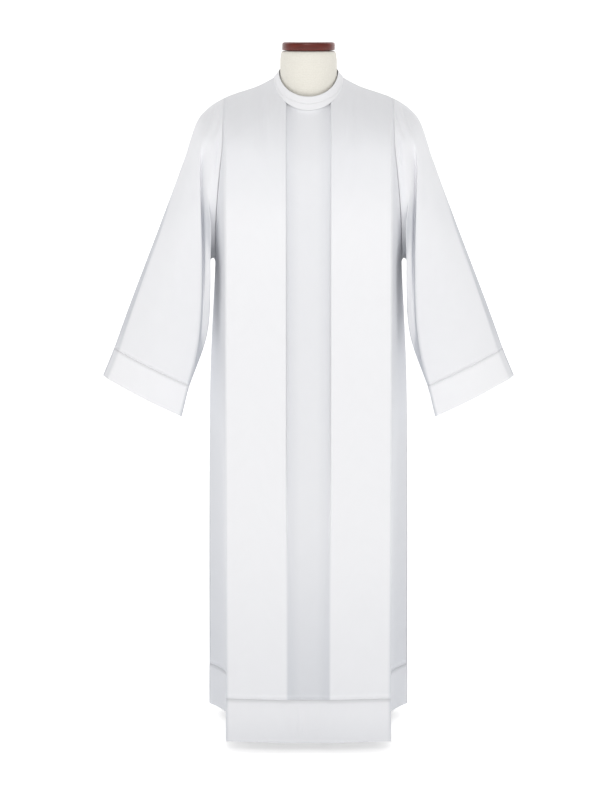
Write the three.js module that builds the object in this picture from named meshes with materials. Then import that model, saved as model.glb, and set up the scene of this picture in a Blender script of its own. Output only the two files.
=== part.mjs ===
// An alb, the long white robe of a server or priest, on a limbless dress form with a round foot.
// Millimetres, +Z up, the front of the robe towards -Y, the floor at Z 0 under the foot.
// Every piece of cloth is a grid of points on its outer face, thickened inwards into a closed wall.
import * as THREE from 'three';

// ---------- driving dimensions ----------
const CLOTH = 1.4; // wall of one layer of cloth
const DOUBLED = 2.6; // wall where the cloth is turned up and lies double
const SEAM_GAP = 0.3; // between two hard pieces that touch
const SEAM_PULL = 0.2; // a cloth edge is drawn back this far, which leaves about 0.3 at a slanting seam
const PLEAT_AIR = 0.8; // between the layers of a pressed pleat

const HEM_TOP = 102; // stitched top line of the hem
const HEM_BOTTOM = 22; // hem edge above the floor
const HEM_DIP = 2; // how much lower the hem hangs at the middle
const FRONT_BOW = 8; // how far the front's outer folds lie behind its middle
const BACK_BOW_CHEST = 14; // the back is rounder, and more so towards the hem
const BACK_BOW_HEM = 46;
const BACK_WAVE = 6; // soft vertical waves in the back at the hem
const WAVE_WIDTH = 96;

const NECK_HALF = 74; // neck seam, half its width
const NECK_Y = 5; // the shoulder seams lie a little behind the form's middle
const NECK_FRONT = 83; // neck seam, forward from the shoulder seams
const NECK_BACK = 72; // neck seam, back from the shoulder seams
const NECK_POINT_Z = 1448; // where a shoulder seam meets the neck seam
const NECK_DROP = 65; // how far the front of the neck seam lies below that point
const NECK_RISE = 14; // how far the back of the neck seam lies above it
const SHOULDER_HALF = 180; // armhole top, from the middle
const SHOULDER_FALL = 43; // armhole top, below the neck point
const NECK_ROUNDNESS = 1.5; // how quickly the cloth turns down in front of the neck
const SHOULDER_ROUNDNESS = 3.2; // and over the shoulder
const CHEST_HALF = 120; // half-width where the one has become the other

const BAND_HALF = 63.2; // top edge of the neckband, half its width
const BAND_FRONT = 68;
const BAND_BACK = 64;
const BAND_SIDE_Z = 1461;
const BAND_DROP = 50;
const BAND_RISE = 17;
const BINDING_LOW = 4; // neck binding, its height at the sides and back
const BINDING_HIGH = 14; // and at the middle of the front

const FORM_NECK_TOP = 1504.7;
const CAP_HEIGHT = 16.6;
const CAP_RADIUS = 56;
const CAP_ROUND = 5;
const POLE_RADIUS = 14;
const FOOT_RADIUS = 128;
const FOOT_HEIGHT = 12;
const SOCKET_RADIUS = 26;
const SOCKET_HEIGHT = 34;

// ---------- small helpers ----------
const V = (x, y, z) => new THREE.Vector3(x, y, z);
const mix = (a, b, t) => a + (b - a) * t;
const mixV = (a, b, t) => a.clone().lerp(b, t);
const moved = (p, x, y, z) => V(p.x + x, p.y + y, p.z + z);
const clamp01 = (t) => Math.min(1, Math.max(0, t));
const smooth = (a, b, t) => {
  const s = clamp01((t - a) / (b - a));
  return s * s * (3 - 2 * s);
};
const table = (columns, rows) =>
  rows.map((row) => Object.fromEntries(columns.split(' ').map((name, i) => [name, row[i]])));

// ---------- the body's sections ----------
// Yoke rows run from the shoulder and neck seams (drop 0) to the first level row (drop 1).
// The arm columns are the armhole's edge at that row, on the front and on the back.
const YOKE = table('drop frontArmX frontArmY frontArmZ backArmX backArmY backArmZ', [
  [0, 180, 5, 1405, 180, 5, 1405],
  [0.045, 179.5, -25, 1399, 179.7, 38, 1396],
  [0.135, 179, -50, 1384, 179.5, 70, 1372],
  [0.28, 179, -70, 1362, 180, 96, 1332],
  [0.475, 179, -84, 1330, 184, 108, 1280],
  [0.7, 181, -88, 1300, 191, 108, 1220],
  [1, 187, -84, 1255, 198, 100, 1160],
]);

// Level rows, from the last yoke row to the hem's edge. overlap is how far a pleat's underlay runs
// behind its panel, ramp is how soft the pleat has become, tuck draws the side in behind the fold.
// The edge columns are the piece's side edge: the armhole down to Z 1048, then the side seam.
const LEVELS = table(
  'z frontY backY foldX overlap ramp recess tuck frontEdgeX frontEdgeY frontEdgeZ backEdgeX backEdgeY backEdgeZ',
  [
    [1256, -121, 112, 171.5, 24, 0, 4.6, 0, 187, -84, 1255, 198, 100, 1160],
    [1170, -127, 117, 172, 24, 0, 6, 0, 197, -60, 1160, 202, 84, 1110],
    [1100, -130, 119, 172.4, 23, 0, 6.5, 1, 201, -22, 1092, 202.5, 60, 1072],
    [1048, -132, 121, 172.8, 21, 0, 7, 2, 203, 28, 1048, 203, 28, 1048],
    [930, -140, 128, 173.8, 16, 0, 7, 6, 211, 33, 930, 211, 33, 930],
    [800, -149, 137, 174.8, 11, 0, 7, 12, 218, 37, 800, 218, 37, 800],
    [670, -157, 147, 175.7, 6, 0, 6.5, 17, 220.5, 40, 670, 220.5, 40, 670],
    [540, -164, 157, 176.6, 0, 0, 6, 22, 222.5, 43, 540, 222.5, 43, 540],
    [400, -171, 166, 177.6, 0, 9, 5.5, 27, 224.5, 45, 400, 224.5, 45, 400],
    [250, -178, 171, 178.7, 0, 16, 5, 32, 226, 48, 250, 226, 48, 250],
    [HEM_TOP, -184, 178, 179.7, 0, 21, 4.5, 36, 227.5, 50, HEM_TOP, 227.5, 50, HEM_TOP],
    [62, -185, 181, 180, 0, 22, 3.5, 37, 228, 50, 62, 228, 50, 62],
    [HEM_BOTTOM, -186, 182, 180.2, 0, 24, 2.5, 38, 228.3, 50, HEM_BOTTOM, 228.3, 50, HEM_BOTTOM],
  ],
);
const LAST_YOKE = YOKE.length - 1;
const HEM_ROW = LAST_YOKE + LEVELS.findIndex((level) => level.z === HEM_TOP);
const LAST_ROW = LAST_YOKE + LEVELS.length - 1;

// Columns of one panel, from its pleat edge to its outer fold: where each starts on the neck and
// shoulder seams (half-width), and the share of the panel where it hangs further down.
const PANEL = table('seamX share', [
  [56.7, 1 / 7],
  [65.3, 2 / 7],
  [71.8, 3 / 7],
  [NECK_HALF, 4 / 7],
  [108, 5 / 7],
  [143, 6 / 7],
  [171, 1],
]);
const SIDE_SHARES = [0.1, 0.42, 0.77, 1]; // columns round the side, from the outer fold to the edge
const VALLEY_SHARE = 0.77; // the column where the side is drawn in most
const PLEAT_TOP_X = 46.6; // visible pleat edge at the neck seam
const PLEAT_SPREAD = 2.6; // how much further out it is at the hem
const CENTRE_SHARES = [0, 0.36, 0.7]; // columns of the recessed middle strip

// shoulder seam: half-width to height, as a falling curve that steepens towards the arm
const shoulderZ = (x) => {
  const out = (x - NECK_HALF) / (SHOULDER_HALF - NECK_HALF);
  return NECK_POINT_Z - SHOULDER_FALL * (1.28 * out ** 0.62 - 0.62 * out + 0.34 * out ** 3);
};

// The seam that a half-body hangs from: neck seam near the middle, shoulder seam beyond it.
function topSeam(x, side) {
  const half = Math.abs(x);
  if (half >= NECK_HALF) return V(x, NECK_Y, shoulderZ(half));
  const c = Math.sqrt(1 - (half / NECK_HALF) ** 2);
  return side < 0
    ? V(x, NECK_Y - NECK_FRONT * c, NECK_POINT_Z - NECK_DROP * c)
    : V(x, NECK_Y + NECK_BACK * c, NECK_POINT_Z + NECK_RISE * c);
}

// The unpleated face of the front (side -1) or back (side 1) at a half-width and a row.
function face(x, row, side) {
  const half = Math.abs(x);
  const depth = (level) => {
    const across = (half / level.foldX) ** 2;
    if (side < 0) return level.frontY + FRONT_BOW * across;
    const down = (LEVELS[0].z - level.z) / LEVELS[0].z;
    const wave = BACK_WAVE * down * Math.cos((2 * Math.PI * half) / WAVE_WIDTH);
    return level.backY - mix(BACK_BOW_CHEST, BACK_BOW_HEM, down) * across + wave;
  };
  if (row >= LAST_YOKE) {
    const level = LEVELS[row - LAST_YOKE];
    const dip = HEM_DIP * smooth(HEM_TOP + 60, HEM_TOP, level.z) * (1 - smooth(0, CHEST_HALF, half));
    return V(x, depth(level), level.z - dip);
  }
  const seam = topSeam(x, side);
  const drop = YOKE[row].drop;
  const roundness = mix(NECK_ROUNDNESS, SHOULDER_ROUNDNESS, smooth(0, CHEST_HALF, half));
  const forward = 1 - (1 - drop) ** roundness;
  return V(x, mix(seam.y, depth(LEVELS[0]), forward), mix(seam.z, LEVELS[0].z, drop));
}

function faceNormal(x, row, side) {
  const step = 2;
  const across = face(x + step, row, side).sub(face(x - step, row, side));
  const down = face(x, Math.min(row + 1, LAST_ROW), side).sub(face(x, Math.max(row - 1, 0), side));
  return across.cross(down).normalize().multiplyScalar(side);
}

// One row of half a body (arm 1 for the robe's +X side), from the middle to the side edge.
function halfRow(row, side, arm) {
  const level = LEVELS[Math.max(0, row - LAST_YOKE)];
  const yoke = YOKE[Math.min(row, LAST_YOKE)];
  const spread = clamp01(row / LAST_YOKE);
  const pleatX = PLEAT_TOP_X + PLEAT_SPREAD * clamp01((NECK_POINT_Z - face(0, row, side).z) / NECK_POINT_Z);
  const at = (x, inwards) =>
    face(arm * x, row, side).addScaledVector(faceNormal(arm * x, row, side), -inwards);
  // a pressed pleat doubles back behind its panel; lower down it opens into a soft ramp
  const pressed = level.overlap > 0;
  const turn = pressed ? 2 * CLOTH + PLEAT_AIR : level.recess / 2;
  const foot = pleatX + level.overlap - level.ramp;
  const points = CENTRE_SHARES.map((share) => at(share * Math.min(pleatX, foot), level.recess));
  points.push(at(foot, level.recess));
  points.push(at(foot + level.ramp / 2, turn));
  points.push(at(pleatX - level.ramp / 2, turn));
  points.push(at(pleatX, 0));
  for (const column of PANEL) {
    points.push(at(mix(column.seamX, mix(pleatX, level.foldX, column.share), spread), 0));
  }
  const fold = points[points.length - 1];
  const name = side < 0 ? 'front' : 'back';
  const edge = row < LAST_YOKE
    ? V(arm * yoke[name + 'ArmX'], yoke[name + 'ArmY'], yoke[name + 'ArmZ'])
    : V(arm * level[name + 'EdgeX'], level[name + 'EdgeY'], level[name + 'EdgeZ']);
  const tuck = row < LAST_YOKE ? 0 : level.tuck;
  for (const share of SIDE_SHARES) {
    const pulled = share <= VALLEY_SHARE ? share / VALLEY_SHARE : (1 - share) / (1 - VALLEY_SHARE);
    points.push(moved(mixV(fold, edge, share), -arm * tuck * pulled, 0, 0));
  }
  return points;
}

// Rows of the whole front or back, as seen going round the body anticlockwise from above.
function bodyGrid(side, firstRow, lastRow) {
  const grid = [];
  for (let row = firstRow; row <= lastRow; row += 1) {
    const start = halfRow(row, side, side).reverse();
    grid.push([...start, ...halfRow(row, side, -side).slice(1)]);
  }
  return grid;
}

// ---------- the sleeves ----------
// Station 0 is the armhole and station 1 the sleeve head just off it. The table holds the stations
// from there to the cuff's edge, on the robe's +X side. outer is the sleeve's
// top edge, crease how far the pressed front crease lies in from it, nose the fold that bounds the
// front face, trough the depth of the fold behind it, ridge the strip beside the body, under the
// underarm line, back the fullness of the back face.
const SLEEVE = table(
  'outerX outerY outerZ crease creaseY noseX noseY noseZ full trough ridgeX ridgeY ridgeZ underX underY underZ back',
  [
    [241, 5, 1362, 1, -26, 227, -70, 1324, 6, 8, 206, -76, 1165, 215, 28, 1036, 84],
    [259, 4, 1295, 1, -20, 230, -64, 1260, 5, 16, 206, -68, 1125, 218, 28, 1020, 68],
    [290, 2, 1214, 1, -16, 229, -60, 1178, 5, 18, 209, -58, 1080, 221, 27, 994, 52],
    [325, 0, 1123, 3, -14, 227, -56, 1083, 6, 16, 210, -46, 1012, 221, 24, 948, 42],
    [364, -2, 1026, 7, -14, 229, -50, 980, 8, 9, 214, -32, 908, 220, 15, 884, 36],
    [401, -2, 932, 11, -14, 237, -42, 868, 10, 0, 236, -14, 845, 240, 8, 840, 30],
    [427.5, -2, 858, 13, -14, 264, -26, 775, 13, 0, 265, -8, 773, 266, 4, 772, 25],
    [438.5, -2, 833, 13, -14, 271, -21, 745, 14, 0, 272, -6, 743, 273, 4, 742, 24],
    [451, -2, 804, 13, -14, 279, -16, 714, 15, 0, 280, -5, 713, 280, 4, 712, 23],
  ],
);
const FIRST_STATION = 2; // the station of the table's first row
const CUFF_STATION = 8; // the cuff's stitched top line
const CUFF_EDGE = FIRST_STATION + SLEEVE.length - 1;
const BACK_COLUMNS = 8;
const HEAD_OUT = 22; // the sleeve head stands out this far from the armhole at the top
const HEAD_UNDER = 8; // and this far under the arm
const HEAD_FALL = 8; // how far its top has fallen there
const HEAD_SPREAD = 4; // how far it swells forward and back under the arm
const DEEP_TROUGH = 10; // from this depth on, the fold behind the sleeve's face is fully formed

function sleeveRing(station) {
  const s = SLEEVE[station - FIRST_STATION];
  const outer = V(s.outerX, s.outerY, s.outerZ);
  const crease = V(s.outerX - s.crease, s.creaseY, s.outerZ - 0.4 * s.crease - 2);
  const nose = V(s.noseX, s.noseY, s.noseZ);
  const ridge = V(s.ridgeX, s.ridgeY, s.ridgeZ);
  const under = V(s.underX, s.underY, s.underZ);
  const folded = clamp01(s.trough / DEEP_TROUGH);
  const faceAt = (t) => moved(mixV(crease, nose, t), 0, -s.full * 4 * t * (1 - t), 0);
  const trough = mixV(mixV(nose, ridge, 0.33), moved(nose, -3, s.trough, -14), folded);
  const strip = mixV(mixV(nose, ridge, 0.66), moved(nose, -5, 0.35 * s.trough, -30), folded);
  const ring = [outer, crease, faceAt(0.34), faceAt(0.68), nose, trough, strip, ridge, mixV(ridge, under, 0.5), under];
  for (let i = 1; i <= BACK_COLUMNS; i += 1) {
    const t = i / (BACK_COLUMNS + 1);
    ring.push(moved(mixV(under, outer, t), 0, s.back * Math.sin(Math.PI * t) ** 0.8, 0));
  }
  return ring;
}

function armholeRing() {
  const front = [];
  const back = [];
  for (let row = 0; row <= LAST_YOKE + 3; row += 1) {
    front.push(halfRow(row, -1, 1).pop());
    back.push(halfRow(row, 1, 1).pop());
  }
  return [...front, ...back.slice(1, -1).reverse()];
}

function headRing() {
  const ring = armholeRing();
  const top = ring[0].z;
  const low = Math.min(...ring.map((p) => p.z));
  return ring.map((p) => {
    const high = (p.z - low) / (top - low);
    const spread = Math.sign(p.y - NECK_Y) * HEAD_SPREAD * (1 - high);
    return moved(p, mix(HEAD_UNDER, HEAD_OUT, high), spread, -HEAD_FALL * high ** 2);
  });
}

function sleeveGrid(firstStation, lastStation, arm) {
  const grid = [];
  for (let station = firstStation; station <= lastStation; station += 1) {
    const ring = station === 0 ? armholeRing() : station === 1 ? headRing() : sleeveRing(station);
    grid.push(arm > 0 ? ring.reverse() : ring.map((p) => V(-p.x, p.y, p.z)));
  }
  return grid;
}

// ---------- the neck ----------
// Rings round the neck, anticlockwise from above, at the columns of the robe's own neck seam.
const neckColumns = () => {
  const inside = PANEL.map((column) => column.seamX).filter((x) => x < NECK_HALF);
  const front = [...CENTRE_SHARES.map((share) => share * PLEAT_TOP_X), PLEAT_TOP_X, ...inside];
  const quarter = front.map((x) => Math.asin(x / NECK_HALF));
  const half = [...quarter, Math.PI / 2, ...quarter.slice(1).reverse().map((a) => Math.PI - a)];
  return [...half, ...half.map((a) => a + Math.PI)];
};
const seamRing = (angle) => {
  const c = Math.cos(angle);
  return V(
    NECK_HALF * Math.sin(angle),
    NECK_Y - (c > 0 ? NECK_FRONT : NECK_BACK) * c,
    NECK_POINT_Z - (c > 0 ? NECK_DROP : NECK_RISE) * c,
  );
};
const bandRing = (angle) => {
  const c = Math.cos(angle);
  return V(
    BAND_HALF * Math.sin(angle),
    -(c > 0 ? BAND_FRONT : BAND_BACK) * c,
    BAND_SIDE_Z - (c > 0 ? BAND_DROP : BAND_RISE) * c,
  );
};
const dividingRing = (angle) => {
  const height = mix(BINDING_LOW, BINDING_HIGH, smooth(0.5, 1, Math.cos(angle)));
  const low = seamRing(angle);
  const high = bandRing(angle);
  return mixV(low, high, Math.min(0.6, height / low.distanceTo(high)));
};
const ringGrid = (upper, lower, rows) =>
  Array.from({ length: rows + 1 }, (_, i) =>
    neckColumns().map((angle) => mixV(upper(angle), lower(angle), i / rows)));

// ---------- from grids to closed walls ----------
const LONGEST_MITRE = 1.6; // most that a sharp fold lengthens the wall's slant, as a share of its thickness
const keyOf = (piece, p) => [piece.sewn, ...p.toArray().map((v) => Math.round(v * 100))].join();

// Unit normals of every quad that touches a point, over all pieces sewn in one run, so that
// neighbours at a seam share one thickness direction and their walls never cross.
const corners = new Map();
function quadsOf(piece) {
  const { grid, closed } = piece;
  const width = grid[0].length;
  const quads = [];
  for (let r = 0; r + 1 < grid.length; r += 1) {
    for (let c = 0; c < (closed ? width : width - 1); c += 1) {
      const d = (c + 1) % width;
      quads.push([[r, c], [r + 1, c], [r + 1, d], [r, d]]);
    }
  }
  return quads;
}
function noteNormals(piece) {
  for (const quad of quadsOf(piece)) {
    const [a, b, c, d] = quad.map(([r, k]) => piece.grid[r][k]);
    const normal = c.clone().sub(a).cross(d.clone().sub(b));
    if (normal.length() < 0.5) continue;
    normal.normalize();
    for (const p of [a, b, c, d]) {
      const key = keyOf(piece, p);
      corners.set(key, [...(corners.get(key) ?? []), normal]);
    }
  }
}
function wallDirection(piece, p) {
  const normals = corners.get(keyOf(piece, p));
  const sum = normals.reduce((total, n) => total.add(n), V(0, 0, 0));
  if (piece.sewn === 'neck') return sum.setZ(0).normalize(); // level, so that it clears the yoke
  return sum.multiplyScalar(Math.min(normals.length / sum.lengthSq(), LONGEST_MITRE / sum.length()));
}

// Outer points drawn back square to the piece's own edges, so that neighbours stand apart at the seam.
function drawnBack(piece, r, c) {
  const { grid, closed } = piece;
  const last = grid.length - 1;
  const width = grid[0].length;
  const here = grid[r][c];
  // the next point of the row that doesn't coincide with this one
  const beside = (step) => {
    let k = c;
    do {
      k = closed ? (k + step + width) % width : k + step;
    } while (grid[r][k] && grid[r][k].distanceTo(here) < 0.01);
    return grid[r][k] ?? here;
  };
  const before = beside(-1);
  const after = beside(1);
  const above = grid[Math.max(r - 1, 0)][c];
  const below = grid[Math.min(r + 1, last)][c];
  const shift = V(0, 0, 0);
  const pull = (inward, from, to) => {
    const along = to.clone().sub(from).normalize();
    const step = inward.clone().sub(here);
    step.addScaledVector(along, -step.dot(along));
    if (step.length() > 0.01) shift.addScaledVector(step.normalize(), SEAM_PULL);
  };
  if (r === 0) pull(below, before, after);
  if (r === last && !piece.freeEdge) pull(above, before, after);
  if (!closed && c === 0) pull(after, above, below);
  if (!closed && c === width - 1) pull(before, above, below);
  return shift;
}

function wall(piece) {
  const { grid, closed, thickness } = piece;
  const rows = grid.length;
  const width = grid[0].length;
  const outer = [];
  const inner = [];
  for (let r = 0; r < rows; r += 1) {
    for (let c = 0; c < width; c += 1) {
      const p = grid[r][c].clone().add(drawnBack(piece, r, c));
      outer.push(p);
      inner.push(p.clone().addScaledVector(wallDirection(piece, grid[r][c]), -thickness));
    }
  }
  const positions = [...outer, ...inner];
  const behind = outer.length;
  const index = (r, c) => r * width + (c % width);
  const same = (a, b) => positions[a].distanceTo(positions[b]) < 0.005;
  const triangles = [];
  const add = (a, b, c) => {
    if (!same(a, b) && !same(b, c) && !same(c, a)) triangles.push(a, b, c);
  };
  // the shorter diagonal, so that the faces of a twisted seam match on both of its pieces
  const length = (a, b) => positions[a].distanceTo(positions[b]);
  const addQuad = (a, b, c, d) => {
    const first = length(a, c) <= length(b, d);
    add(a, b, first ? c : d);
    add(first ? a : b, c, d);
  };
  for (const quad of quadsOf(piece)) {
    const [a, b, c, d] = quad.map(([r, k]) => index(r, k));
    addQuad(a, b, c, d);
    addQuad(behind + a, behind + d, behind + c, behind + b);
  }
  const last = closed ? width : width - 1;
  for (let c = 0; c < last; c += 1) {
    const top = [index(0, c), index(0, c + 1)];
    const low = [index(rows - 1, c), index(rows - 1, c + 1)];
    addQuad(top[0], top[1], behind + top[1], behind + top[0]);
    addQuad(low[1], low[0], behind + low[0], behind + low[1]);
  }
  if (!closed) {
    for (let r = 0; r + 1 < rows; r += 1) {
      const start = [index(r, 0), index(r + 1, 0)];
      const end = [index(r, width - 1), index(r + 1, width - 1)];
      addQuad(start[1], start[0], behind + start[0], behind + start[1]);
      addQuad(end[0], end[1], behind + end[1], behind + end[0]);
    }
  }
  return indexed(positions, triangles);
}

function indexed(points, triangles) {
  const geometry = new THREE.BufferGeometry();
  geometry.setAttribute('position', new THREE.Float32BufferAttribute(points.flatMap((p) => p.toArray()), 3));
  geometry.setIndex(triangles);
  geometry.computeVertexNormals();
  return geometry;
}

// ---------- the dress form and its stand ----------
// Level sections of the form: half-width, reach to the front and to the back, and the neck's radius.
const FORM = table('z half front back neck', [
  [690, 128, 84, 84, 0],
  [700, 140, 94, 94, 0],
  [760, 150, 100, 104, 0],
  [860, 152, 98, 108, 0],
  [960, 140, 92, 96, 0],
  [1040, 144, 98, 96, 0],
  [1120, 154, 106, 98, 0],
  [1190, 160, 108, 100, 0],
  [1240, 168, 104, 98, 0],
  [1280, 186, 98, 92, 0],
  [1315, 200, 90, 84, 0],
  [1345, 206, 76, 76, 0],
  [1368, 200, 62, 66, 0],
  [1383, 188, 47, 54, 58],
  [1395, 174, 37, 44, 58.5],
  [1405, 158, 29, 36, 59],
  [1415, 134, 18, 28, 59.4],
  [1425, 88, 14, 24, 59.8],
  [1436, 66, 12, 22, 60],
  [1448, 40, 10, 20, 60.2],
  [1463, 40, 10, 20, 60.3],
  [1480, 40, 10, 20, 60.4],
  [1492, 40, 10, 20, 59.8],
  [1499, 40, 10, 20, 58.6],
  [FORM_NECK_TOP, 40, 10, 20, 55],
]);
const FORM_SIDES = 36;

function dressForm() {
  const points = [];
  const triangles = [];
  for (const section of FORM) {
    for (let i = 0; i < FORM_SIDES; i += 1) {
      const angle = (2 * Math.PI * i) / FORM_SIDES;
      const s = Math.sin(angle);
      const c = Math.cos(angle);
      const body = 1 / Math.hypot(s / section.half, c / (c > 0 ? section.front : section.back));
      const reach = (body ** 8 + section.neck ** 8) ** (1 / 8);
      points.push(V(reach * s, -reach * c, section.z));
    }
  }
  const low = points.push(V(0, 0, FORM[0].z)) - 1;
  const high = points.push(V(0, 0, FORM_NECK_TOP)) - 1;
  const top = (FORM.length - 1) * FORM_SIDES;
  for (let i = 0; i < FORM_SIDES; i += 1) {
    const j = (i + 1) % FORM_SIDES;
    for (let r = 0; r + 1 < FORM.length; r += 1) {
      const [a, b, c, d] = [r * FORM_SIDES + i, r * FORM_SIDES + j, (r + 1) * FORM_SIDES + j, (r + 1) * FORM_SIDES + i];
      triangles.push(a, b, c, a, c, d);
    }
    triangles.push(low, j, i, high, top + i, top + j);
  }
  return indexed(points, triangles);
}

// A turned solid: profile of [radius, height] pairs from the axis to the axis, upwards.
function turned(profile, segments) {
  const points = profile.map(([radius, height]) => new THREE.Vector2(radius, height));
  return new THREE.LatheGeometry(points, segments).rotateX(Math.PI / 2);
}

function roundedDisc(radius, bottom, height, round, segments) {
  const profile = [[0, bottom], [radius - 1, bottom], [radius, bottom + 1]];
  for (let i = 0; i <= 4; i += 1) {
    const angle = (Math.PI / 2) * (i / 4);
    profile.push([radius - round * (1 - Math.cos(angle)), bottom + height - round * (1 - Math.sin(angle))]);
  }
  return turned([...profile, [0, bottom + height]], segments);
}

// ---------- materials ----------
const finish = (color, roughness, metalness = 0) => new THREE.MeshStandardMaterial({ color, roughness, metalness });
const WHITE_CLOTH = () => finish(0xf2f2f4, 0.85);
const CREAM_COVER = finish(0xe6dfd0, 0.9);
const MAHOGANY = finish(0x6e2412, 0.25);
const PAINTED_STEEL = finish(0xd8d8d6, 0.4, 0.6);
const CAST_IRON = finish(0xcfcfcd, 0.5, 0.4);

// ---------- the model ----------
const robe = new THREE.Group();
const stand = new THREE.Group();
const model = new THREE.Group();

function addPart(group, name, geometry, material) {
  const mesh = new THREE.Mesh(geometry, material);
  mesh.name = name;
  group.add(mesh);
}

const pieces = [
  { name: 'front', grid: bodyGrid(-1, 0, HEM_ROW), thickness: CLOTH },
  { name: 'back', grid: bodyGrid(1, 0, HEM_ROW), thickness: CLOTH },
  { name: 'hem_front', grid: bodyGrid(-1, HEM_ROW, LAST_ROW), thickness: DOUBLED, freeEdge: true },
  { name: 'hem_back', grid: bodyGrid(1, HEM_ROW, LAST_ROW), thickness: DOUBLED, freeEdge: true },
];
for (const [sideName, arm] of [['right', 1], ['left', -1]]) {
  const sleeve = sleeveGrid(0, CUFF_STATION, arm);
  const cuff = sleeveGrid(CUFF_STATION, CUFF_EDGE, arm);
  pieces.push({ name: `sleeve_${sideName}`, grid: sleeve, thickness: CLOTH, closed: true });
  pieces.push({ name: `cuff_${sideName}`, grid: cuff, thickness: DOUBLED, closed: true, freeEdge: true });
}
pieces.push({ name: 'neckband', grid: ringGrid(bandRing, dividingRing, 2), thickness: 2, closed: true });
pieces.push({ name: 'neck_binding', grid: ringGrid(dividingRing, seamRing, 2), thickness: 2, closed: true });

for (const piece of pieces) {
  piece.sewn = piece.name.startsWith('neck') ? 'neck' : 'robe';
  noteNormals(piece);
}
for (const piece of pieces) addPart(robe, piece.name, wall(piece), WHITE_CLOTH());

addPart(stand, 'form_body', dressForm(), CREAM_COVER);
addPart(stand, 'neck_cap', roundedDisc(CAP_RADIUS, FORM_NECK_TOP + SEAM_GAP, CAP_HEIGHT, CAP_ROUND, 48), MAHOGANY);
const poleBottom = FOOT_HEIGHT + SOCKET_HEIGHT + SEAM_GAP;
const poleTop = FORM[0].z - SEAM_GAP;
const pole = new THREE.CylinderGeometry(POLE_RADIUS, POLE_RADIUS, poleTop - poleBottom, 24).rotateX(Math.PI / 2);
addPart(stand, 'pole', pole.translate(0, 0, (poleTop + poleBottom) / 2), PAINTED_STEEL);
addPart(stand, 'foot', roundedDisc(FOOT_RADIUS, 0, FOOT_HEIGHT - SEAM_GAP, 4, 64), CAST_IRON);
addPart(stand, 'pole_socket', roundedDisc(SOCKET_RADIUS, FOOT_HEIGHT, SOCKET_HEIGHT, 6, 32), CAST_IRON);

model.add(robe, stand);
export default model;
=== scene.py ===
# %% [markdown]
# # An alb on a dress form
# An alb is the long white robe that servers and priests wear. This one is sewn from a fine woven
# polyester, pressed flat, and stands on a limbless dress form. The lesson builds the cloth as thin
# walls on the imported model's own sections, adds the creases, and turns the hard parts.

import math
from types import SimpleNamespace

import bmesh
import bpy
from mathutils import Matrix, Vector


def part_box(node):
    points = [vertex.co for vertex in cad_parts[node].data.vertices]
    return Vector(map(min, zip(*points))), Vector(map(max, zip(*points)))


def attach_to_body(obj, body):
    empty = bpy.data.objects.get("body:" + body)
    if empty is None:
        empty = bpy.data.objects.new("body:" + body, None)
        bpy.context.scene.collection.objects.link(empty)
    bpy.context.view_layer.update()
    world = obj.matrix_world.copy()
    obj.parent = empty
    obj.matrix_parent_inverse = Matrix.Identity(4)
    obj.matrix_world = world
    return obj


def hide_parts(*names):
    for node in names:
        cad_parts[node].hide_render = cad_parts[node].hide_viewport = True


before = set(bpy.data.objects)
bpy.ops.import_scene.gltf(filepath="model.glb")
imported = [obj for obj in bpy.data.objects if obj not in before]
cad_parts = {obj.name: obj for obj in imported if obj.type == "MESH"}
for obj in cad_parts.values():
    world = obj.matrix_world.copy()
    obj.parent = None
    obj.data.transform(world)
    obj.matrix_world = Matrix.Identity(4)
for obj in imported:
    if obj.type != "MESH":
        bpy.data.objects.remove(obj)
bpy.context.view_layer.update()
MM = 0.001
SAME_POINT = 1e-6  # points nearer than this, in metres, are one point
print("nodes:", len(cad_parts))

# %% [markdown]
# ## The camera
# The robe is seen square on, from just above shoulder height, with a long lens that keeps its sides
# upright. A small turn downwards brings the hem in without any shift of the lens.

# %% Camera
camera_data = bpy.data.cameras.new("camera")
camera_data.lens = 83.6
camera_data.sensor_width = 36
camera = bpy.data.objects.new("camera", camera_data)
camera.location = (-0.0043, -4.0, 1.598)
camera.rotation_euler = (math.radians(78), 0, 0)
bpy.context.scene.collection.objects.link(camera)
bpy.context.scene.camera = camera
print("camera lens", camera_data.lens)


# %% [markdown]
# ## Small helpers
# A table is a list of rows with named columns. Sizes are in millimetres until a point is placed.
# Two more helpers turn a finished bmesh into an object and put that object on the frame.

# %% Helpers
def mix(a, b, t):
    return a + (b - a) * t


def clamp01(t):
    return min(1.0, max(0.0, t))


def smooth(a, b, t):
    s = clamp01((t - a) / (b - a))
    return s * s * (3 - 2 * s)


def table(columns, rows):
    names = columns.split()
    return [SimpleNamespace(**dict(zip(names, row))) for row in rows]


def new_object(name, bm, material):
    """Turns a bmesh into an object in the scene, and frees it."""
    mesh = bpy.data.meshes.new(name)
    bm.to_mesh(mesh)
    bm.free()
    mesh.materials.append(material)
    made = bpy.data.objects.new(name, mesh)
    bpy.context.scene.collection.objects.link(made)
    return made


def attach(piece, slot, *nodes):
    """Puts a piece on the frame, in place of the nodes that it shows. The slot is not used."""
    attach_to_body(piece, "root")
    if nodes:
        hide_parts(*nodes)
    print(piece.name, "faces", len(piece.data.polygons))


# %% [markdown]
# ## The robe's sections
# The cloth hangs from the neck and shoulder seams (the yoke rows) and then falls through level
# rows. These are the solids' own sections, so that each visible piece lies on its own solid; only
# the pleat's recess is shallower than the solid's, right at the neck seam.

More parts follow.
